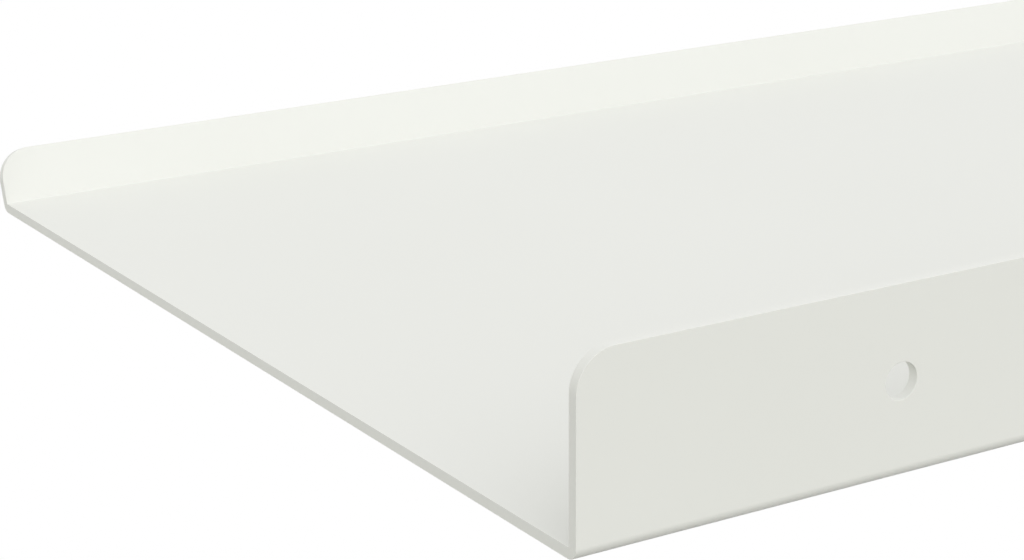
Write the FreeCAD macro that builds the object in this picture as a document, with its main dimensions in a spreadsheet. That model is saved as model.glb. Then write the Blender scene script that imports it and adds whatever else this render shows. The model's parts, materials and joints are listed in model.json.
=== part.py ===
import FreeCAD, Part
import math
import os

import Sketcher

# A floating wall shelf folded from one sheet of steel: a flat base, an upright wall flange behind it
# with a row of screw holes, and a low lip in front that leans outwards.  The second hole from each end
# holds its fixing, a pan-head screw with a washer and a wall plug.  The other holes stay open.
#
# Millimetres and degrees.  +X runs along the wall, +Y points into it, +Z is up.  The wall's face is
# the plane y = 0, and the origin lies there, at half the shelf's length and at the holes' height.

SIZES = {
    # folded sheet
    "shelf_length": 800.0,
    "sheet_thickness": 2.0,
    "base_depth": 230.0,           # wall face to the lip's foot, along the underside
    "wall_flange_height": 33.6,    # from the underside
    "lip_width": 13.3,             # up the lip's outer face
    "lip_lean": 18.0,              # from upright
    "bend_radius": 0.3,            # inside each fold
    "corner_radius": 7.0,          # where each upstand meets the ends
    "edge_break": 0.2,             # along every cut edge
    # screw holes
    "hole_count": 4,
    "hole_clearance": 0.25,        # radial, round the screw
    "hole_height": 17.0,           # hole centre above the underside
    "hole_end_distance": 62.5,
    # pan-head screw
    "screw_diameter": 6.0,
    "screw_length": 50.0,          # below the head
    "screw_tip_length": 7.0,
    "head_diameter": 11.5,
    "head_height": 3.8,
    "head_rounding": 2.6,
    "recess_span": 6.0,            # across the cross-shaped recess
    "recess_slot": 1.2,
    "recess_depth": 2.2,
    # washer
    "washer_diameter": 12.5,
    "washer_thickness": 1.6,
    "washer_clearance": 0.2,       # radial, round the screw
    "washer_edge_break": 0.2,
    # wall plug, spread by its screw
    "plug_clearance": 0.05,        # radial, round the screw
    "plug_wall": 0.95,
    "plug_length": 40.0,
    "plug_tip_length": 4.0,
    "plug_tip_wall": 0.55,
    "collar_reach": 1.0,           # beyond the plug's own radius
    "collar_thickness": 1.0,
    "ring_count": 6,               # barbed rings, from ring_start to the tip's taper
    "ring_depth": 0.4,
    "ring_start": 12.0,            # from the wall's face
    "slot_width": 1.4,
    "slot_start": 10.0,            # the slot ends where the tip's taper starts
    "fin_reach": 1.2,              # beyond the plug's own radius
    "fin_length": 7.0,
    "fin_thickness": 1.0,
}

HOLE_RADIUS = "(Sizes.screw_diameter / 2 + Sizes.hole_clearance)"
HOLE_SPAN = "(Sizes.shelf_length - 2 * Sizes.hole_end_distance)"
FIXING_X = f"({HOLE_SPAN} / 2 - {HOLE_SPAN} / (Sizes.hole_count - 1))"
UNDER_HEAD = "(Sizes.sheet_thickness + Sizes.washer_thickness)"
LEAN_SINE = "sin(Sizes.lip_lean * 1 deg)"
LEAN_COSINE = "cos(Sizes.lip_lean * 1 deg)"
FULL_TURN = 360.0
SHARP_ANGLE = 25.0     # an edge is sharp where its faces turn by more than this
WALL_SHARE = 0.9       # the most of a wall or a face that a rounding takes
RIGHT_THROUGH = 1.5    # a cut that goes right through, in thicknesses of what it cuts
TOLERANCE = 1e-4

# a sketch's own indices for its axes, a line's ends and a circle's centre
H_AXIS_INDEX, V_AXIS_INDEX = -1, -2
START_INDEX, END_INDEX, CENTRE_INDEX = 1, 2, 3

doc = FreeCAD.newDocument("floating_wall_shelf")
sheet = doc.addObject("Spreadsheet::Sheet", "Sizes")


def fill_sheet():
    for row, (alias, value) in enumerate(SIZES.items(), 1):
        sheet.set(f"A{row}", alias)
        sheet.set(f"B{row}", str(value))
        sheet.setAlias(f"B{row}", alias)
    doc.recompute()


def number(expression):
    """The value of an expression on the sheet, as a plain number."""
    value = sheet.evalExpression(expression)
    return float(getattr(value, "Value", value))


def origin_feature(body, role):
    return next(part for part in body.Origin.OriginFeatures if part.Role == role)


def pin_point(sketch, line, x, y):
    """Hold a line's first point at two expressions from the sketch's origin."""
    for kind, axis, expression in (("DistanceX", V_AXIS_INDEX, x), ("DistanceY", H_AXIS_INDEX, y)):
        if expression == "0":
            sketch.addConstraint(Sketcher.Constraint("PointOnObject", line, START_INDEX, axis))
            continue
        place = Sketcher.Constraint(kind, line, START_INDEX, number(expression))
        index = sketch.addConstraint(place)
        sketch.setExpression(f"Constraints[{index}]", expression)


def outline(body, name, plane, corners):
    """A closed sketch of straight lines, whose corners are pairs of expressions."""
    sketch = body.newObject("Sketcher::SketchObject", name)
    sketch.AttachmentSupport = [(origin_feature(body, plane), "")]
    sketch.MapMode = "FlatFace"
    points = [FreeCAD.Vector(number(x), number(y), 0) for x, y in corners]
    ends = points[1:] + points[:1]
    for start, end in zip(points, ends):
        sketch.addGeometry(Part.LineSegment(start, end), False)
    for line in range(len(points)):
        following = (line + 1) % len(points)
        sketch.addConstraint(Sketcher.Constraint("Coincident", line, END_INDEX, following, START_INDEX))
    for line, (x, y) in enumerate(corners):
        pin_point(sketch, line, x, y)
    doc.recompute()
    return sketch


def pad(body, name, sketch, length):
    """Thicken a sketch by the same amount on both sides of its plane."""
    feature = body.newObject("PartDesign::Pad", name)
    feature.Profile = sketch
    feature.SideType = "Symmetric"
    feature.setExpression("Length", length)
    doc.recompute()
    return feature


def pocket(body, name, sketch, depth, side="One side", along_normal=False):
    """Cut a sketch into the body, and make sure that it has cut something."""
    volume = body.Shape.Volume
    feature = body.newObject("PartDesign::Pocket", name)
    feature.Profile = sketch
    feature.SideType = side
    feature.Reversed = along_normal
    feature.setExpression("Length", depth)
    doc.recompute()
    if body.Shape.Volume > volume - TOLERANCE:
        raise RuntimeError(f"{name} cuts nothing")
    return feature


def revolve(body, name, sketch):
    feature = body.newObject("PartDesign::Revolution", name)
    feature.Profile = sketch
    feature.ReferenceAxis = (sketch, ["V_Axis"])
    feature.Angle = FULL_TURN
    doc.recompute()
    return feature


def dress_edges(body, kind, name, edges, size):
    """Fillet or chamfer the named edges of the body as it stands."""
    base = body.Tip
    feature = body.newObject(f"PartDesign::{kind}", name)
    feature.Base = (base, edges)
    feature.setExpression("Radius" if kind == "Fillet" else "Size", size)
    doc.recompute()


def fillet(body, name, edges, radius):
    dress_edges(body, "Fillet", name, edges, radius)


def chamfer(body, name, edges, size):
    dress_edges(body, "Chamfer", name, edges, size)


def edge_names(shape, wanted):
    return [f"Edge{place}" for place, edge in enumerate(shape.Edges, 1) if wanted(edge)]


def normal_at(face, point):
    return face.normalAt(*face.Surface.parameter(point))


def is_sharp(shape, edge):
    faces = shape.ancestorsOfType(edge, Part.Face)
    if len(faces) != 2:
        return False
    middle = edge.valueAt((edge.FirstParameter + edge.LastParameter) / 2)
    turn = normal_at(faces[0], middle).getAngle(normal_at(faces[1], middle))
    return math.degrees(turn) > SHARP_ANGLE


def sharp_edges(shape):
    return edge_names(shape, lambda edge: is_sharp(shape, edge))


def edges_along_x(shape, y, z):
    """The edges that run along X through a point of the YZ plane."""
    def wanted(edge):
        return all(abs(end.Y - y) < TOLERANCE and abs(end.Z - z) < TOLERANCE for end in edge.Vertexes)
    return edge_names(shape, wanted)


def edges_across_end(shape, y, z):
    """The edges that cross the sheet's thickness at its two ends, about a point of the YZ plane."""
    half_length = number("Sizes.shelf_length / 2")

    def wanted(edge):
        centre = edge.CenterOfGravity
        at_end = all(abs(abs(end.X) - half_length) < TOLERANCE for end in edge.Vertexes)
        return at_end and abs(centre.y - y) < TOLERANCE and abs(centre.z - z) < TOLERANCE
    return edge_names(shape, wanted)


# ---------------------------------------------------------------- the folded sheet

UNDERSIDE = "-Sizes.hole_height"
FLOOR = "(Sizes.sheet_thickness - Sizes.hole_height)"
FLANGE_TOP = "(Sizes.wall_flange_height - Sizes.hole_height)"
LIP_TOP_Y = f"-(Sizes.base_depth + Sizes.lip_width * {LEAN_SINE})"
LIP_TOP_Z = f"(Sizes.lip_width * {LEAN_COSINE} - Sizes.hole_height)"
LIP_INSIDE_Y = f"({LIP_TOP_Y} + Sizes.sheet_thickness * {LEAN_COSINE})"
LIP_INSIDE_Z = f"({LIP_TOP_Z} + Sizes.sheet_thickness * {LEAN_SINE})"
LIP_FOOT_INSIDE = f"-(Sizes.base_depth - Sizes.sheet_thickness * (1 - {LEAN_SINE}) / {LEAN_COSINE})"
OUTER_BEND = "(Sizes.bend_radius + Sizes.sheet_thickness)"
CORNER = f"min(Sizes.corner_radius; {WALL_SHARE} * Sizes.lip_width - {OUTER_BEND})"


def folded_section(body):
    """The sheet's section with square corners, drawn from the wall flange round to its inside face."""
    corners = [
        ("0", FLANGE_TOP),
        ("0", UNDERSIDE),
        ("-Sizes.base_depth", UNDERSIDE),
        (LIP_TOP_Y, LIP_TOP_Z),
        (LIP_INSIDE_Y, LIP_INSIDE_Z),
        (LIP_FOOT_INSIDE, FLOOR),
        ("-Sizes.sheet_thickness", FLOOR),
        ("-Sizes.sheet_thickness", FLANGE_TOP),
    ]
    return outline(body, "folded_section", "YZ_Plane", corners)


def fold_bends(body):
    underside, floor = number(UNDERSIDE), number(FLOOR)
    inner = edges_along_x(body.Shape, number("-Sizes.sheet_thickness"), floor)
    inner += edges_along_x(body.Shape, number(LIP_FOOT_INSIDE), floor)
    fillet(body, "inner_bends", inner, "Sizes.bend_radius")
    outer = edges_along_x(body.Shape, 0, underside)
    outer += edges_along_x(body.Shape, number("-Sizes.base_depth"), underside)
    fillet(body, "outer_bends", outer, OUTER_BEND)


def round_upstands(body):
    flange_y = number("-Sizes.sheet_thickness / 2")
    lip_y = number(f"({LIP_TOP_Y} + {LIP_INSIDE_Y}) / 2")
    lip_z = number(f"({LIP_TOP_Z} + {LIP_INSIDE_Z}) / 2")
    corners = edges_across_end(body.Shape, flange_y, number(FLANGE_TOP))
    corners += edges_across_end(body.Shape, lip_y, lip_z)
    fillet(body, "upstand_corners", corners, CORNER)


def drill_holes(body):
    """A row of evenly spaced holes, from the hole nearest the -X end."""
    sketch = body.newObject("Sketcher::SketchObject", "first_hole")
    sketch.AttachmentSupport = [(origin_feature(body, "XZ_Plane"), "")]
    sketch.MapMode = "FlatFace"
    centre = FreeCAD.Vector(number(f"-{HOLE_SPAN} / 2"), 0, 0)
    radius = number(HOLE_RADIUS)
    circle = sketch.addGeometry(Part.Circle(centre, FreeCAD.Vector(0, 0, 1), radius), False)
    sketch.addConstraint(Sketcher.Constraint("PointOnObject", circle, CENTRE_INDEX, H_AXIS_INDEX))
    place = sketch.addConstraint(Sketcher.Constraint("DistanceX", circle, CENTRE_INDEX, centre.x))
    sketch.setExpression(f"Constraints[{place}]", f"-{HOLE_SPAN} / 2")
    size = sketch.addConstraint(Sketcher.Constraint("Radius", circle, radius))
    sketch.setExpression(f"Constraints[{size}]", HOLE_RADIUS)
    doc.recompute()
    depth = f"{RIGHT_THROUGH} * Sizes.sheet_thickness"
    first = pocket(body, "hole", sketch, depth, along_normal=True)
    row = body.newObject("PartDesign::LinearPattern", "hole_row")
    row.Originals = [first]
    row.Direction = (sketch, ["H_Axis"])
    row.setExpression("Length", HOLE_SPAN)
    row.setExpression("Occurrences", "Sizes.hole_count")
    body.Tip = row
    doc.recompute()


def make_shelf_tray():
    body = doc.addObject("PartDesign::Body", "shelf_tray")
    pad(body, "folded_sheet", folded_section(body), "Sizes.shelf_length")
    fold_bends(body)
    round_upstands(body)
    drill_holes(body)
    chamfer(body, "broken_edges", sharp_edges(body.Shape), "Sizes.edge_break")
    return body


# ---------------------------------------------------------------- the fixings

def make_screw():
    """A pan-head screw along +Y, its head clamped on the washer inside the shelf."""
    body = doc.addObject("PartDesign::Body", "screw")
    head_top = f"-({UNDER_HEAD} + Sizes.head_height)"
    tip = f"(Sizes.screw_length - {UNDER_HEAD})"
    profile = outline(body, "screw_profile", "XY_Plane", [
        ("0", head_top),
        ("Sizes.head_diameter / 2", head_top),
        ("Sizes.head_diameter / 2", f"-{UNDER_HEAD}"),
        ("Sizes.screw_diameter / 2", f"-{UNDER_HEAD}"),
        ("Sizes.screw_diameter / 2", f"{tip} - Sizes.screw_tip_length"),
        ("0", tip),
    ])
    revolve(body, "screw_solid", profile)
    rim_y = number(head_top)
    rim = edge_names(body.Shape, lambda edge: abs(edge.CenterOfGravity.y - rim_y) < TOLERANCE)
    fillet(body, "head_dome", rim, f"min(Sizes.head_rounding; {WALL_SHARE} * Sizes.head_height)")
    cut_recess(body, f"{UNDER_HEAD} + Sizes.head_height")
    return body


def cut_recess(body, face_distance):
    """A cross-shaped driver recess in the head's outer face."""
    arm, half_slot = "Sizes.recess_span / 2", "Sizes.recess_slot / 2"
    quarter = [(arm, half_slot), (half_slot, half_slot), (half_slot, arm)]
    corners = []
    for turn in range(4):
        corners += quarter
        quarter = [(f"-({y})", x) for x, y in quarter]
    sketch = outline(body, "recess_outline", "XZ_Plane", corners)
    sketch.setExpression("AttachmentOffset.Base.z", face_distance)
    doc.recompute()
    pocket(body, "recess", sketch, "Sizes.recess_depth")


def make_washer():
    """A flat washer between the screw's head and the wall flange."""
    body = doc.addObject("PartDesign::Body", "washer")
    bore, rim = "Sizes.screw_diameter / 2 + Sizes.washer_clearance", "Sizes.washer_diameter / 2"
    profile = outline(body, "washer_profile", "XY_Plane", [
        (bore, f"-{UNDER_HEAD}"),
        (rim, f"-{UNDER_HEAD}"),
        (rim, "-Sizes.sheet_thickness"),
        (bore, "-Sizes.sheet_thickness"),
    ])
    revolve(body, "washer_ring", profile)
    chamfer(body, "washer_edges", sharp_edges(body.Shape), "Sizes.washer_edge_break")
    return body


PLUG_BORE = "(Sizes.screw_diameter / 2 + Sizes.plug_clearance)"
PLUG_RADIUS = f"({PLUG_BORE} + Sizes.plug_wall)"
TAPER_START = "(Sizes.plug_length - Sizes.plug_tip_length)"
SLOPE_SHARE = 0.8      # how much of a ring's pitch its slope takes, up from the barb's foot


def plug_profile():
    """Half of the plug's section: bore, collar, a row of barbed rings and a tapered tip."""
    root = f"({PLUG_RADIUS} - Sizes.ring_depth)"
    collar = f"({PLUG_RADIUS} + Sizes.collar_reach)"
    pitch = f"({TAPER_START} - Sizes.ring_start) / Sizes.ring_count"
    corners = [
        (PLUG_BORE, "0"),
        (collar, "0"),
        (collar, "Sizes.collar_thickness"),
        (PLUG_RADIUS, "Sizes.collar_thickness"),
    ]
    for ring in range(int(SIZES["ring_count"])):
        barb = f"Sizes.ring_start + {ring} * {pitch}"
        slope_end = f"{barb} + {SLOPE_SHARE} * {pitch}"
        corners += [(PLUG_RADIUS, barb), (root, barb), (PLUG_RADIUS, slope_end)]
    corners += [
        (PLUG_RADIUS, TAPER_START),
        (f"{PLUG_BORE} + Sizes.plug_tip_wall", "Sizes.plug_length"),
        (PLUG_BORE, "Sizes.plug_length"),
    ]
    return corners


def make_plug():
    """A ribbed plug in the wall behind the flange, split so that the screw spreads it."""
    body = doc.addObject("PartDesign::Body", "plug")
    revolve(body, "plug_sleeve", outline(body, "plug_profile", "XY_Plane", plug_profile()))
    for side in ("", "-"):
        name = "right_fin" if side == "" else "left_fin"
        inside = f"{side}({PLUG_RADIUS} - Sizes.ring_depth)"
        fin = outline(body, f"{name}_outline", "XY_Plane", [
            (inside, "Sizes.collar_thickness"),
            (f"{side}({PLUG_RADIUS} + Sizes.fin_reach)", "Sizes.collar_thickness"),
            (inside, "Sizes.collar_thickness + Sizes.fin_length"),
        ])
        pad(body, name, fin, "Sizes.fin_thickness")
    half_slot = "Sizes.slot_width / 2"
    slot = outline(body, "slot_outline", "XY_Plane", [
        (f"-{half_slot}", "Sizes.slot_start"),
        (half_slot, "Sizes.slot_start"),
        (half_slot, TAPER_START),
        (f"-{half_slot}", TAPER_START),
    ])
    pocket(body, "slot", slot, f"{RIGHT_THROUGH} * 2 * {PLUG_RADIUS}", side="Symmetric")
    return body


def mirrored_pair(label, body):
    """One node with the fixing at its hole and a mirrored copy at the other end's hole."""
    body.setExpression("Placement.Base.x", FIXING_X)
    twin = doc.addObject("Part::Mirroring", f"{body.Name}_twin")
    twin.Source = body
    twin.Normal = (1, 0, 0)
    pair = doc.addObject("Part::Compound", label)
    pair.Links = [body, twin]
    doc.recompute()
    return pair


def check(parts):
    """Stop unless every object has recomputed and every part is whole."""
    for thing in doc.Objects:
        if {"Invalid", "Error"} & set(thing.State):
            raise RuntimeError(f"{thing.Name} has failed: {thing.State}")
    for part, solids in parts:
        shape = part.Shape
        if shape.isNull() or not shape.isValid():
            raise RuntimeError(f"{part.Label} has no valid shape")
        if len(shape.Solids) != solids:
            raise RuntimeError(f"{part.Label} has {len(shape.Solids)} solids, not {solids}")


fill_sheet()
tray = make_shelf_tray()
screws = mirrored_pair("wall_screws", make_screw())
washers = mirrored_pair("washers", make_washer())
plugs = mirrored_pair("wall_plugs", make_plug())
doc.recompute()
check([(tray, 1), (screws, 2), (washers, 2), (plugs, 2)])

os.makedirs("parts", exist_ok=True)
for node in (tray, screws, washers, plugs):
    node.Shape.exportStep(f"parts/{node.Label}.step")
    box = node.Shape.BoundBox
    print(f"{node.Label}: {box.XLength:.2f} x {box.YLength:.2f} x {box.ZLength:.2f} mm,"
          f" {node.Shape.Volume:.1f} mm3")
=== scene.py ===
import json
import math
from collections import namedtuple

import bpy
import bmesh
from mathutils import Matrix, Vector
from mathutils.geometry import tessellate_polygon


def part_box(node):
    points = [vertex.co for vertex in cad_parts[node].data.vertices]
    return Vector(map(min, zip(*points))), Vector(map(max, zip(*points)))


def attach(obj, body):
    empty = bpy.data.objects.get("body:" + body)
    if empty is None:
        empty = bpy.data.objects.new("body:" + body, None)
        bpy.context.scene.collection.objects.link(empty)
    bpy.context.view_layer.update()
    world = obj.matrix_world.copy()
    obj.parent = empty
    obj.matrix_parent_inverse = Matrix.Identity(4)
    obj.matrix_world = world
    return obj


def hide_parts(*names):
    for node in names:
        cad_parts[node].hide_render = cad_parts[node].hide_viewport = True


# The looks of a floating wall shelf: a folded, powder-coated sheet with its wall screws, washers and
# wall plugs.  Metres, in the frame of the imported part: +X runs along the wall, +Y points into it, +Z
# is up, and the wall's face is the plane y = 0.

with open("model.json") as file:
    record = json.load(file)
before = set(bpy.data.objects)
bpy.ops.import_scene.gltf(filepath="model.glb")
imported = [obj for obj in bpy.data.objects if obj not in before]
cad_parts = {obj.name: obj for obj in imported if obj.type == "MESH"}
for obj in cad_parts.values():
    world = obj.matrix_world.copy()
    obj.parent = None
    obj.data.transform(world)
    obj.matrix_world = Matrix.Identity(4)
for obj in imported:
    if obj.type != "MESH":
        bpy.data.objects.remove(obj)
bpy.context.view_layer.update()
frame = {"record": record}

MM = 0.001
ROOT = "root"                   # the part's only body
QUARTER_TURN = math.pi / 2
HALF_TURN = math.pi
FULL_TURN = 2 * math.pi
SAME = 1e-9                     # places closer than this are one place

TRAY_LOW, TRAY_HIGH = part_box("shelf_tray")
SCREWS_LOW, SCREWS_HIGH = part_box("wall_screws")
WASHERS_LOW, WASHERS_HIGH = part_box("washers")
PLUGS_LOW, PLUGS_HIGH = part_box("wall_plugs")
OPEN_HOLES = next(mount["dims"] for mount in frame["record"]["mounts"] if mount["name"] == "wall_holes")


# ---------------------------------------------------------------- materials

# A noise's scale is about how many of its waves lie in a metre.  The two tones and the two levels of
# roughness are those at the noise's low places and at its high ones.

NOISE_SPAN = 0.3, 0.7           # the noise's low and high places

COAT_TONES = (0.807, 0.815, 0.774), (0.821, 0.829, 0.790)
COAT_ROUGHNESS = 0.47, 0.53
COAT_CLOUD_SCALE = 9.0
PEEL_SCALE = 1400.0
PEEL_DETAIL = 3.0
PEEL_HEIGHT = 0.004 * MM

ZINC_TONES = (0.60, 0.615, 0.635), (0.72, 0.715, 0.695)
ZINC_ROUGHNESS = 0.36, 0.22
CRYSTAL_SCALE = 1100.0
CRYSTAL_DETAIL = 4.0
CRYSTAL_HEIGHT = 0.01 * MM

NYLON_TONES = (0.27, 0.28, 0.29), (0.32, 0.33, 0.34)
NYLON_ROUGHNESS = 0.42, 0.58
NYLON_CLOUD_SCALE = 160.0
GRAIN_SCALE = 2500.0
GRAIN_HEIGHT = 0.012 * MM


def new_material(name):
    """A material with its node tree and its shader."""
    material = bpy.data.materials.new(name)
    material.use_nodes = True
    return material, material.node_tree, material.node_tree.nodes["Principled BSDF"]


def noise(tree, scale, detail=2.0):
    """Noise that is fixed to the piece."""
    coordinates = tree.nodes.new("ShaderNodeTexCoord")
    texture = tree.nodes.new("ShaderNodeTexNoise")
    texture.inputs["Scale"].default_value = scale
    texture.inputs["Detail"].default_value = detail
    tree.links.new(coordinates.outputs["Object"], texture.inputs["Vector"])
    return texture.outputs["Fac"]


def colour_range(tree, value, tones):
    """A colour that runs from one tone to the other as the noise goes over its span."""
    node = tree.nodes.new("ShaderNodeValToRGB")
    for element, position, tone in zip(node.color_ramp.elements, NOISE_SPAN, tones):
        element.position = position
        element.color = (*tone, 1.0)
    tree.links.new(value, node.inputs["Fac"])
    return node.outputs["Color"]


def number_range(tree, value, span, levels):
    """A number that runs from one level to the other as the value goes over the span."""
    node = tree.nodes.new("ShaderNodeMapRange")
    node.inputs["From Min"].default_value, node.inputs["From Max"].default_value = span
    node.inputs["To Min"].default_value, node.inputs["To Max"].default_value = levels
    tree.links.new(value, node.inputs["Value"])
    return node.outputs["Result"]


def bumps(tree, value, height):
    """The surface's normal, tilted by bumps of this height."""
    node = tree.nodes.new("ShaderNodeBump")
    node.inputs["Distance"].default_value = height
    tree.links.new(value, node.inputs["Height"])
    return node.outputs["Normal"]


def connect(tree, shader, colour, roughness, normal):
    """Give a shader its colour, roughness and normal."""
    tree.links.new(colour, shader.inputs["Base Color"])
    tree.links.new(roughness, shader.inputs["Roughness"])
    tree.links.new(normal, shader.inputs["Normal"])


def powder_coat():
    """Satin off-white powder coat: a faint orange peel and a trace of uneven tone."""
    material, tree, shader = new_material("powder_coat")
    cloud = noise(tree, COAT_CLOUD_SCALE)
    peel = noise(tree, PEEL_SCALE, PEEL_DETAIL)
    roughness = number_range(tree, cloud, NOISE_SPAN, COAT_ROUGHNESS)
    normal = bumps(tree, peel, PEEL_HEIGHT)
    connect(tree, shader, colour_range(tree, cloud, COAT_TONES), roughness, normal)
    return material


def zinc():
    """Bright zinc plating: fine crystals, between a bluish and a yellowish grey."""
    material, tree, shader = new_material("zinc_steel")
    crystals = noise(tree, CRYSTAL_SCALE, CRYSTAL_DETAIL)
    roughness = number_range(tree, crystals, NOISE_SPAN, ZINC_ROUGHNESS)
    normal = bumps(tree, crystals, CRYSTAL_HEIGHT)
    connect(tree, shader, colour_range(tree, crystals, ZINC_TONES), roughness, normal)
    shader.inputs["Metallic"].default_value = 1.0
    return material


def nylon():
    """Moulded grey nylon with a dull, slightly grained skin."""
    material, tree, shader = new_material("nylon")
    cloud = noise(tree, NYLON_CLOUD_SCALE)
    grain = noise(tree, GRAIN_SCALE)
    roughness = number_range(tree, grain, NOISE_SPAN, NYLON_ROUGHNESS)
    normal = bumps(tree, grain, GRAIN_HEIGHT)
    connect(tree, shader, colour_range(tree, cloud, NYLON_TONES), roughness, normal)
    return material


# ---------------------------------------------------------------- pieces and meshes

SHARP_ANGLE = math.radians(32)  # an edge that turns by more than this is sharp
SOFT_EDGE_SEGMENTS = 3
ROUND_PROFILE = 0.5             # what Blender's bevel calls a circular arc


def new_object(name, data):
    """An object in the scene."""
    thing = bpy.data.objects.new(name, data)
    bpy.context.scene.collection.objects.link(thing)
    return thing


def add_piece(name, mesh, node, material):
    """A finished mesh becomes a piece that stands for its CAD node."""
    piece = new_object(name, mesh)
    piece.data.materials.clear()
    piece.data.materials.append(material)
    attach(piece, ROOT)
    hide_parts(node)


def to_mesh(name, mesh):
    """A bmesh as mesh data, with its faces turned outwards."""
    bmesh.ops.recalc_face_normals(mesh, faces=mesh.faces)
    data = bpy.data.meshes.new(name)
    mesh.to_mesh(data)
    mesh.free()
    return data


def combine(first, operation, second):
    """Two closed meshes added together, or one cut out of the other."""
    objects = [new_object(data.name, data) for data in (first, second)]
    modifier = objects[0].modifiers.new("combine", "BOOLEAN")
    modifier.operation = operation
    modifier.object = objects[1]
    modifier.solver = "EXACT"
    depsgraph = bpy.context.evaluated_depsgraph_get()
    result = bpy.data.meshes.new_from_object(objects[0].evaluated_get(depsgraph))
    for thing in objects:
        bpy.data.objects.remove(thing)
    return result


def join_rings(mesh, rings):
    """A band of faces from each ring of vertices to the next."""
    for first, second in zip(rings, rings[1:]):
        for here in range(len(first)):
            after = (here + 1) % len(first)
            mesh.faces.new((first[here], first[after], second[after], second[here]))


def close_ends(mesh, rings):
    """A face over the first ring and one over the last."""
    mesh.faces.new(rings[0])
    mesh.faces.new(rings[-1])


def loft(name, outlines):
    """A closed mesh through outlines that have the same number of points."""
    mesh = bmesh.new()
    rings = [[mesh.verts.new(point) for point in outline] for outline in outlines]
    join_rings(mesh, rings)
    close_ends(mesh, rings)
    return to_mesh(name, mesh)


def soften(mesh, width):
    """Round the sharp edges of a turned piece."""
    edges = [edge for edge in mesh.edges if edge.calc_face_angle(0.0) > SHARP_ANGLE]
    shape = {"segments": SOFT_EDGE_SEGMENTS, "profile": ROUND_PROFILE}
    bmesh.ops.bevel(mesh, geom=edges, offset=width, affect="EDGES", **shape)


# ---------------------------------------------------------------- the folded sheet

# The sheet is drawn flat first.  A place on it has an x, how far it lies along the section's inside
# face from the flange's top, and a depth from that face.  Then it is folded.

LENGTH = TRAY_HIGH.x - TRAY_LOW.x
UNDERSIDE = TRAY_LOW.z
FLANGE_TOP = TRAY_HIGH.z
THICKNESS = 2.0 * MM
BASE_DEPTH = 230.0 * MM         # wall face to the lip's foot, along the underside
LIP_WIDTH = 13.3 * MM           # up the lip's outer face
LIP_LEAN = math.radians(18.0)   # from upright
BEND_RADIUS = 0.3 * MM          # inside each fold
CORNER_RADIUS = 7.0 * MM
EDGE_RADIUS = 0.06 * MM         # the coat's rounding along every cut edge
HOLE_RADIUS = OPEN_HOLES["hole_r_mm"] * MM
HOLE_COUNT = 4
HOLE_PITCH = OPEN_HOLES["spacing_x_mm"] * MM / (HOLE_COUNT - 1)     # the open holes are the outer two
HOLE_PLACES = [HOLE_PITCH * (index - (HOLE_COUNT - 1) / 2) for index in range(HOLE_COUNT)]

BEND_STEPS = 10
CORNER_STEPS = 24
EDGE_STEPS = 4
HOLE_STEPS = 72

Station = namedtuple("Station", "along y z heading")            # a point of the section's inside face
RimPoint = namedtuple("RimPoint", "x along out_x out_along")    # a point of the flat sheet's rim


def fold_plan():
    """The section's stretches, from the flange's top down and round to the lip's top."""
    outer_bend = BEND_RADIUS + THICKNESS
    lip_turn = QUARTER_TURN - LIP_LEAN
    lip_setback = outer_bend * math.tan(lip_turn / 2)
    return [
        ("straight", FLANGE_TOP - UNDERSIDE - outer_bend),
        ("bend", QUARTER_TURN),
        ("straight", BASE_DEPTH - outer_bend - lip_setback),
        ("bend", lip_turn),
        ("straight", LIP_WIDTH - lip_setback),
    ]


def section_stations():
    """Stations from the flange's top to the lip's top, most of them in the bends."""
    along, y, z, heading = 0.0, -THICKNESS, FLANGE_TOP, -QUARTER_TURN
    stations = [Station(along, y, z, heading)]
    for kind, size in fold_plan():
        steps = BEND_STEPS if kind == "bend" else 1
        for _ in range(steps):
            turn = size / steps if kind == "bend" else 0.0
            run = 2 * BEND_RADIUS * math.sin(turn / 2) if kind == "bend" else size
            y += run * math.cos(heading - turn / 2)
            z += run * math.sin(heading - turn / 2)
            heading -= turn
            along += BEND_RADIUS * turn if kind == "bend" else run
            stations.append(Station(along, y, z, heading))
    return stations


STATIONS = section_stations()
FOLD_LEVELS = [station.along for station in STATIONS[1:-1]]     # where its flat faces and facets meet
SHEET_WIDTH = STATIONS[-1].along


def folded(x, along, depth):
    """Where a place on the sheet comes to lie, with its directions along the section and through it."""
    before, after = next(pair for pair in zip(STATIONS, STATIONS[1:]) if along <= pair[1].along + SAME)
    share = (along - before.along) / (after.along - before.along)
    _, y, z, heading = (low + share * (high - low) for low, high in zip(before, after))
    sine, cosine = math.sin(heading), math.cos(heading)
    place = Vector((x, y - depth * sine, z + depth * cosine))
    return place, Vector((0, cosine, sine)), Vector((0, -sine, cosine))


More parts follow.
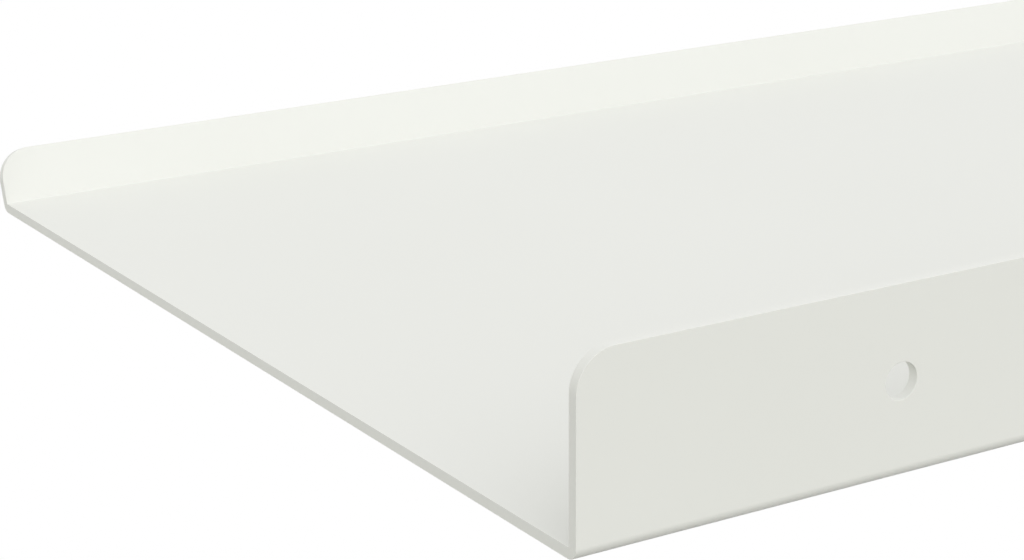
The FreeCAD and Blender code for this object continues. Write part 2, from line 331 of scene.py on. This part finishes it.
def sheet_outline():
    """The flat sheet's outline with its rounded corners, once round."""
    half, radius = LENGTH / 2, CORNER_RADIUS
    levels = [radius, *FOLD_LEVELS, SHEET_WIDTH - radius]

    def corner(centre_x, centre_along, first_angle):
        """A quarter turn without its two ends, which belong to the straight stretches."""
        for step in range(1, CORNER_STEPS):
            angle = first_angle + QUARTER_TURN * step / CORNER_STEPS
            out_x, out_along = math.cos(angle), math.sin(angle)
            x, along = centre_x + radius * out_x, centre_along + radius * out_along
            yield RimPoint(x, along, out_x, out_along)

    points = [RimPoint(-half, along, -1.0, 0.0) for along in reversed(levels)]
    points += corner(radius - half, radius, HALF_TURN)
    points += [RimPoint(x, 0.0, 0.0, -1.0) for x in (radius - half, half - radius)]
    points += corner(half - radius, radius, HALF_TURN + QUARTER_TURN)
    points += [RimPoint(half, along, 1.0, 0.0) for along in levels]
    points += corner(half - radius, SHEET_WIDTH - radius, 0.0)
    points += [RimPoint(x, SHEET_WIDTH, 0.0, 1.0) for x in (half - radius, radius - half)]
    points += corner(radius - half, SHEET_WIDTH - radius, QUARTER_TURN)
    return points


def hole_outline(centre_x):
    """A hole at the height of the frame's origin; outwards is towards the hole's middle."""
    points = []
    for step in range(HOLE_STEPS):
        angle = -FULL_TURN * step / HOLE_STEPS
        out_x, out_along = -math.cos(angle), -math.sin(angle)
        x, along = centre_x - HOLE_RADIUS * out_x, FLANGE_TOP - HOLE_RADIUS * out_along
        points.append(RimPoint(x, along, out_x, out_along))
    return points


def edge_profile():
    """A cut edge from the inside face to the outside face: (inset, depth, outward, facing out)."""
    inner_half = []
    for step in range(EDGE_STEPS + 1):
        angle = QUARTER_TURN * step / EDGE_STEPS
        outward, inward = math.sin(angle), math.cos(angle)
        inner_half.append((EDGE_RADIUS * (1 - outward), EDGE_RADIUS * (1 - inward), outward, -inward))
    outer_half = [(inset, THICKNESS - depth, out, -facing) for inset, depth, out, facing in inner_half]
    return inner_half + outer_half[::-1]


def add_rim(mesh, normals, outline):
    """The rounded rim along one outline: rings of vertices from the inside face to the outside."""
    rings = []
    for inset, depth, outward, facing in edge_profile():
        ring = []
        for x, along, out_x, out_along in outline:
            place, forward, through = folded(x - out_x * inset, along - out_along * inset, depth)
            out = Vector((out_x, 0, 0)) + out_along * forward
            ring.append(mesh.verts.new(place))
            normals.append((outward * out + facing * through).normalized())
        rings.append(ring)
    join_rings(mesh, rings)
    return rings


def add_skin(mesh, outline, ring, hole_outlines, hole_rings):
    """One side of the sheet between its rims: the flange round its holes, the base and the lip."""
    rim = list(zip(outline, ring))
    left = {point.along: vertex for point, vertex in rim if point.out_x == -1.0}
    right = {point.along: vertex for point, vertex in rim if point.out_x == 1.0}
    for upper, lower in zip(FOLD_LEVELS, FOLD_LEVELS[1:]):
        mesh.faces.new((left[upper], left[lower], right[lower], right[upper]))
    mesh.faces.new([vertex for point, vertex in rim if point.along > FOLD_LEVELS[-1] - SAME])

    flange = [(point, vertex) for point, vertex in rim if point.along < FOLD_LEVELS[0] + SAME]
    holes = [list(zip(hole, hole_ring)) for hole, hole_ring in zip(hole_outlines, hole_rings)]
    loops = [flange, *holes]
    vertices = [vertex for loop in loops for _, vertex in loop]
    flat_loops = [[Vector((point.x, point.along, 0)) for point, _ in loop] for loop in loops]
    for triangle in tessellate_polygon(flat_loops):
        mesh.faces.new([vertices[corner] for corner in triangle])


def build_tray(material):
    """The folded sheet, in one piece."""
    mesh, normals = bmesh.new(), []
    outline = sheet_outline()
    rings = add_rim(mesh, normals, outline)
    holes = [hole_outline(x) for x in HOLE_PLACES]
    hole_rims = [add_rim(mesh, normals, hole) for hole in holes]
    for side in (0, -1):
        add_skin(mesh, outline, rings[side], holes, [rim[side] for rim in hole_rims])
    data = to_mesh("folded_shelf", mesh)
    data.shade_smooth()
    data.normals_split_custom_set_from_vertices(normals)
    add_piece("folded_shelf", data, "shelf_tray", material)


# ---------------------------------------------------------------- the fixings

# Each kind is made once round the Y axis, which is the middle of its hole, and copied to its places.

HEAD_RADIUS = SCREWS_HIGH.z
FIXING_X = SCREWS_HIGH.x - HEAD_RADIUS
HEAD_TOP = SCREWS_LOW.y
UNDER_HEAD = WASHERS_LOW.y
SCREW_TIP = SCREWS_HIGH.y
SCREW_RADIUS = 3.0 * MM
TIP_LENGTH = 7.0 * MM
HEAD_ROUNDING = 2.6 * MM
HEAD_EDGE = 0.25 * MM           # rounding of the head's lower rim
NECK_RADIUS = 2.3 * MM
THREAD_PITCH = 2.6 * MM
THREAD_DEPTH = 0.3              # as a share of the screw's radius
THREAD_FLANK = 0.19             # as a share of the pitch
NECK_LENGTH = THREAD_PITCH
THREAD_START = 1.5 * THREAD_PITCH   # from under the head
RECESS_ARM = 3.0 * MM
RECESS_SLOT = 0.6 * MM          # half of an arm's width
RECESS_DEPTH = 2.2 * MM
RECESS_DRAFT = 0.45             # the recess's size at its bottom, as a share of its mouth

WASHER_RADIUS = WASHERS_HIGH.z
WASHER_BORE = 3.2 * MM
WASHER_EDGE = 0.2 * MM

PLUG_BORE = 3.05 * MM
PLUG_RADIUS = 4.0 * MM
PLUG_END = PLUGS_HIGH.y
PLUG_TAPER = 4.0 * MM
PLUG_TIP_RADIUS = 3.6 * MM
PLUG_EDGE = 0.1 * MM
COLLAR_RADIUS = PLUGS_HIGH.z
COLLAR_THICKNESS = 1.0 * MM
RING_COUNT = 6
RING_START = 12.0 * MM
RING_DEPTH = 0.4 * MM
RING_SLOPE = 0.8                # how much of a ring's pitch its slope takes
SLOT_HALF = 0.7 * MM
SLOT_START = 10.0 * MM
SLOT_REACH = 2 * COLLAR_RADIUS  # of its cutter, past the plug above and below
FIN_REACH = 1.2 * MM
FIN_LENGTH = 7.0 * MM
FIN_HALF = 0.5 * MM

ROUND_STEPS = 64
THREAD_STEPS = 24               # round the screw, and along one pitch of its thread
ARC_STEPS = 9                   # an odd number, so that no point of a slot's end lies on its middle


def ring_of(mesh, y, radii):
    """A ring of vertices round the Y axis, one for each radius."""
    ring = []
    for step, radius in enumerate(radii):
        angle = FULL_TURN * step / len(radii)
        ring.append(mesh.verts.new((radius * math.cos(angle), y, radius * math.sin(angle))))
    return ring


def turned(profile, hollow):
    """A profile of (radius, y) turned about the Y axis; a hollow one runs round and closes."""
    mesh = bmesh.new()
    rings = [ring_of(mesh, y, [radius] * ROUND_STEPS) for radius, y in profile]
    if hollow:
        join_rings(mesh, [*rings, rings[0]])
    else:
        join_rings(mesh, rings)
        close_ends(mesh, rings)
    return mesh


def arc(centre_across, centre_y, radius, first_angle, last_angle):
    """Points (across, y) along an arc; an angle of 0 points across, and a quarter turn to +Y."""
    points = []
    for step in range(ARC_STEPS + 1):
        angle = first_angle + (last_angle - first_angle) * step / ARC_STEPS
        points.append((centre_across + radius * math.cos(angle), centre_y + radius * math.sin(angle)))
    return points


def prism(name, outline, reach):
    """An outline of (x, y) points, filled as far above the Y axis as below it."""
    return loft(name, [[(x, y, z) for x, y in outline] for z in (-reach, reach)])


def screw_head():
    """A pan head before its recess is cut."""
    flat = HEAD_RADIUS - HEAD_ROUNDING
    profile = arc(flat, HEAD_TOP + HEAD_ROUNDING, HEAD_ROUNDING, -QUARTER_TURN, 0.0)
    profile += arc(HEAD_RADIUS - HEAD_EDGE, UNDER_HEAD - HEAD_EDGE, HEAD_EDGE, 0.0, QUARTER_TURN)
    return to_mesh("head", turned(profile, hollow=False))


def recess_cutter():
    """A cross with tapering arms, from as far above the head's face as the recess's floor is below."""
    arm, slot = RECESS_ARM, RECESS_SLOT
    cross = [(arm, slot), (slot, slot), (slot, arm), (-slot, arm), (-slot, slot), (-arm, slot)]
    cross += [(-x, -z) for x, z in cross]
    top_share = 1.0 + (1.0 - RECESS_DRAFT)      # as a share of its size at the head's face
    levels = [(HEAD_TOP - RECESS_DEPTH, top_share), (HEAD_TOP + RECESS_DEPTH, RECESS_DRAFT)]
    return loft("recess", [[(x * share, y, z * share) for x, z in cross] for y, share in levels])


def thread_radius(step, row, y):
    """The screw's radius at one step round it and one row along its thread."""
    place = (step + row) % THREAD_STEPS / THREAD_STEPS
    from_crest = min(place, 1.0 - place)
    height = max(0.0, 1.0 - from_crest / THREAD_FLANK)
    root = 1.0 - THREAD_DEPTH
    taper = min(1.0, (SCREW_TIP - y) / TIP_LENGTH)
    return SCREW_RADIUS * taper * (root + THREAD_DEPTH * height)


def threaded_shank():
    """The screw below its head, its facets split along the thread's crest."""
    mesh = bmesh.new()
    inside_head = (HEAD_TOP + RECESS_DEPTH + UNDER_HEAD) / 2
    neck = [inside_head, UNDER_HEAD + NECK_LENGTH]
    rings = [ring_of(mesh, y, [NECK_RADIUS] * THREAD_STEPS) for y in neck]
    thread_top = UNDER_HEAD + THREAD_START
    rows = int((SCREW_TIP - thread_top) / THREAD_PITCH * THREAD_STEPS)
    for row in range(rows):
        y = thread_top + row * THREAD_PITCH / THREAD_STEPS
        rings.append(ring_of(mesh, y, [thread_radius(step, row, y) for step in range(THREAD_STEPS)]))
    for first, second in zip(rings, rings[1:]):
        for here in range(THREAD_STEPS):
            after = (here + 1) % THREAD_STEPS
            mesh.faces.new((first[here], first[after], second[here]))
            mesh.faces.new((first[after], second[after], second[here]))
    mesh.faces.new(rings[0])
    point = mesh.verts.new((0, SCREW_TIP, 0))
    for here in range(THREAD_STEPS):
        mesh.faces.new((rings[-1][here], rings[-1][(here + 1) % THREAD_STEPS], point))
    return to_mesh("shank", mesh)


def screw_mesh():
    """A pan-head screw with a cross recess and a thread that tapers to a point."""
    head = combine(screw_head(), "DIFFERENCE", recess_cutter())
    return combine(head, "UNION", threaded_shank())


def washer_mesh():
    """A flat washer with rounded edges."""
    profile = [
        (WASHER_BORE, WASHERS_LOW.y),
        (WASHER_RADIUS, WASHERS_LOW.y),
        (WASHER_RADIUS, WASHERS_HIGH.y),
        (WASHER_BORE, WASHERS_HIGH.y),
    ]
    mesh = turned(profile, hollow=True)
    soften(mesh, WASHER_EDGE)
    return to_mesh("washer", mesh)


def plug_sleeve():
    """The plug before it is slotted: a collar, a row of barbed rings and a tapered tip."""
    taper_start = PLUG_END - PLUG_TAPER
    pitch = (taper_start - RING_START) / RING_COUNT
    profile = [
        (PLUG_BORE, PLUGS_LOW.y),
        (COLLAR_RADIUS, PLUGS_LOW.y),
        (COLLAR_RADIUS, COLLAR_THICKNESS),
        (PLUG_RADIUS, COLLAR_THICKNESS),
    ]
    for ring in range(RING_COUNT):
        barb = RING_START + ring * pitch
        profile += [(PLUG_RADIUS, barb), (PLUG_RADIUS - RING_DEPTH, barb)]
        profile += [(PLUG_RADIUS, barb + RING_SLOPE * pitch)]
    profile += [(PLUG_RADIUS, taper_start), (PLUG_TIP_RADIUS, PLUG_END), (PLUG_BORE, PLUG_END)]
    mesh = turned(profile, hollow=True)
    soften(mesh, PLUG_EDGE)
    return to_mesh("sleeve", mesh)


def slot_cutter():
    """The slot that splits the plug in two, with round ends."""
    first, last = SLOT_START + SLOT_HALF, PLUG_END - PLUG_TAPER - SLOT_HALF
    outline = arc(0.0, last, SLOT_HALF, 0.0, HALF_TURN)
    outline += arc(0.0, first, SLOT_HALF, HALF_TURN, FULL_TURN)
    return prism("slot", outline, SLOT_REACH)


def plug_mesh():
    """A ribbed wall plug with a fin on each side and a slot through it."""
    plug = plug_sleeve()
    foot = PLUG_RADIUS - RING_DEPTH
    for side in (1, -1):
        fin = [
            (side * foot, COLLAR_THICKNESS - PLUG_EDGE),
            (side * (PLUG_RADIUS + FIN_REACH), COLLAR_THICKNESS - PLUG_EDGE),
            (side * foot, COLLAR_THICKNESS + FIN_LENGTH),
        ]
        plug = combine(plug, "UNION", prism("fin", fin, FIN_HALF))
    return combine(plug, "DIFFERENCE", slot_cutter())


def build_fixings(steel, plastic):
    """One screw, washer and plug at each of the two inner holes."""
    kinds = [
        ("wall_screw", screw_mesh(), "wall_screws", "zinc_steel", steel),
        ("washer", washer_mesh(), "washers", "zinc_steel", steel),
        ("wall_plug", plug_mesh(), "wall_plugs", "nylon", plastic),
    ]
    for name, master, node, slot, material in kinds:
        master.shade_smooth()
        master.set_sharp_from_angle(angle=SHARP_ANGLE)
        for side, x in (("left", -FIXING_X), ("right", FIXING_X)):
            mesh = master.copy()
            mesh.transform(Matrix.Translation((x, 0, 0)))
            add_piece(f"{name}_{side}", mesh, node, material)


# ---------------------------------------------------------------- studio and camera

WHITE = (1.0, 1.0, 1.0, 1.0)
SKY_LEVEL = 1.0                     # the sky's strength overhead
SKY_LEAN = (-0.10, 0.53, 0.0)       # how much stronger it is towards each axis than overhead
FLOOR_DROP = 3.0                    # from the shelf's underside, in metres
FLOOR_REACH = 200.0
FLOOR_TINT = (0.74, 0.74, 0.67)     # the floor's colour for the light that it sends back up
PAINTED_SHADOW_REACH = 5.4, 6.2               # how far a painted shadow beneath the shelf reaches, and its soft rim
PAINTED_SHADOW_SHARE = 0.06                  # of the light that the rest of the floor sends back, inside the painted shadow

CAMERA_PLACE = Vector((599.8, 303.9, 142.8)) * MM
CAMERA_YAW = math.radians(31.857)       # of its view, from -Y towards -X
CAMERA_PITCH = math.radians(17.537)     # below level
CAMERA_ROLL = math.radians(0.416)
CAMERA_NEAR = 10.0 * MM                 # nothing closer to the camera than this is seen
CAMERA_LENS = 92.26
SENSOR_WIDTH = 36.0


def seen_directly(tree):
    """1 for camera, glossy and transmission rays, and 0 for the rays that light the object."""
    path = tree.nodes.new("ShaderNodeLightPath")
    seen = path.outputs["Is Camera Ray"]
    for kind in ("Is Glossy Ray", "Is Transmission Ray"):
        either = tree.nodes.new("ShaderNodeMath")
        either.operation = "MAXIMUM"
        tree.links.new(seen, either.inputs[0])
        tree.links.new(path.outputs[kind], either.inputs[1])
        seen = either.outputs[0]
    return seen


def light_or_eye(tree, lighting, backdrop):
    """One shader for the rays that light the object, and another for those that see it."""
    mix = tree.nodes.new("ShaderNodeMixShader")
    tree.links.new(seen_directly(tree), mix.inputs["Fac"])
    tree.links.new(lighting.outputs[0], mix.inputs[1])
    tree.links.new(backdrop.outputs[0], mix.inputs[2])
    return mix.outputs[0]


def sky_strength(tree):
    """How strong the sky is in each direction."""
    direction = tree.nodes.new("ShaderNodeTexCoord")
    lean = tree.nodes.new("ShaderNodeVectorMath")
    lean.operation = "DOT_PRODUCT"
    lean.inputs[1].default_value = SKY_LEAN
    tree.links.new(direction.outputs["Generated"], lean.inputs[0])
    strength = tree.nodes.new("ShaderNodeMath")
    strength.operation = "ADD"
    strength.inputs[1].default_value = SKY_LEVEL
    tree.links.new(lean.outputs["Value"], strength.inputs[0])
    return strength.outputs[0]


def build_world():
    """White to the eye.  As light, a soft sky that is brighter on the side of the wall."""
    world = bpy.data.worlds.new("studio")
    bpy.context.scene.world = world
    world.use_nodes = True
    tree = world.node_tree
    tree.nodes.clear()
    sky, backdrop = tree.nodes.new("ShaderNodeBackground"), tree.nodes.new("ShaderNodeBackground")
    sky.inputs["Color"].default_value = WHITE
    backdrop.inputs["Color"].default_value = WHITE
    tree.links.new(sky_strength(tree), sky.inputs["Strength"])
    output = tree.nodes.new("ShaderNodeOutputWorld")
    tree.links.new(light_or_eye(tree, sky, backdrop), output.inputs["Surface"])


def floor_tint_and_painted_shadow(tree):
    """The floor's colour for the light that it sends back up: a painted shadow beneath the shelf, pale
    beyond.
    """
    coordinates = tree.nodes.new("ShaderNodeTexCoord")
    distance = tree.nodes.new("ShaderNodeVectorMath")
    distance.operation = "LENGTH"
    tree.links.new(coordinates.outputs["Object"], distance.inputs[0])
    # painted shadow: near the point beneath the shelf the floor sends back only this share of its light
    share = number_range(tree, distance.outputs["Value"], PAINTED_SHADOW_REACH, (PAINTED_SHADOW_SHARE, 1.0))
    shadowed_tint = tree.nodes.new("ShaderNodeVectorMath")
    shadowed_tint.operation = "SCALE"
    shadowed_tint.inputs[0].default_value = FLOOR_TINT
    tree.links.new(share, shadowed_tint.inputs["Scale"])
    return shadowed_tint.outputs["Vector"]


def build_floor():
    """A floor far below, which is white to the eye, with a painted shadow beneath the shelf in the
    light that it sends back.
    """
    material, tree, shader = new_material("studio_floor")
    tree.nodes.remove(shader)
    lighting, white = tree.nodes.new("ShaderNodeBsdfDiffuse"), tree.nodes.new("ShaderNodeBsdfDiffuse")
    # the light that the floor sends back carries a painted shadow beneath the shelf
    tree.links.new(floor_tint_and_painted_shadow(tree), lighting.inputs["Color"])
    white.inputs["Color"].default_value = WHITE
    surface = tree.nodes["Material Output"].inputs["Surface"]
    tree.links.new(light_or_eye(tree, lighting, white), surface)
    mesh = bmesh.new()
    bmesh.ops.create_grid(mesh, x_segments=1, y_segments=1, size=FLOOR_REACH)
    floor = new_object("studio_floor", to_mesh("studio_floor", mesh))
    floor.location.z = UNDERSIDE - FLOOR_DROP
    floor.data.materials.append(material)


def build_camera():
    """A camera on the wall's side, above the shelf and beyond its +X end."""
    data = bpy.data.cameras.new("camera")
    data.sensor_fit = "HORIZONTAL"
    data.sensor_width = SENSOR_WIDTH
    data.lens = CAMERA_LENS
    data.clip_start = CAMERA_NEAR
    camera = new_object("camera", data)
    heading = Vector((-math.sin(CAMERA_YAW), -math.cos(CAMERA_YAW), 0.0))
    forward = heading * math.cos(CAMERA_PITCH) - Vector((0.0, 0.0, math.sin(CAMERA_PITCH)))
    level_right = Vector((heading.y, -heading.x, 0.0))
    right = Matrix.Rotation(CAMERA_ROLL, 3, forward) @ level_right
    axes = Matrix((right, right.cross(forward), -forward)).transposed()
    camera.matrix_world = Matrix.Translation(CAMERA_PLACE) @ axes.to_4x4()
    bpy.context.scene.camera = camera


bpy.context.scene.view_settings.view_transform = "Standard"
build_camera()
build_world()
build_floor()
build_tray(powder_coat())
build_fixings(zinc(), nylon())
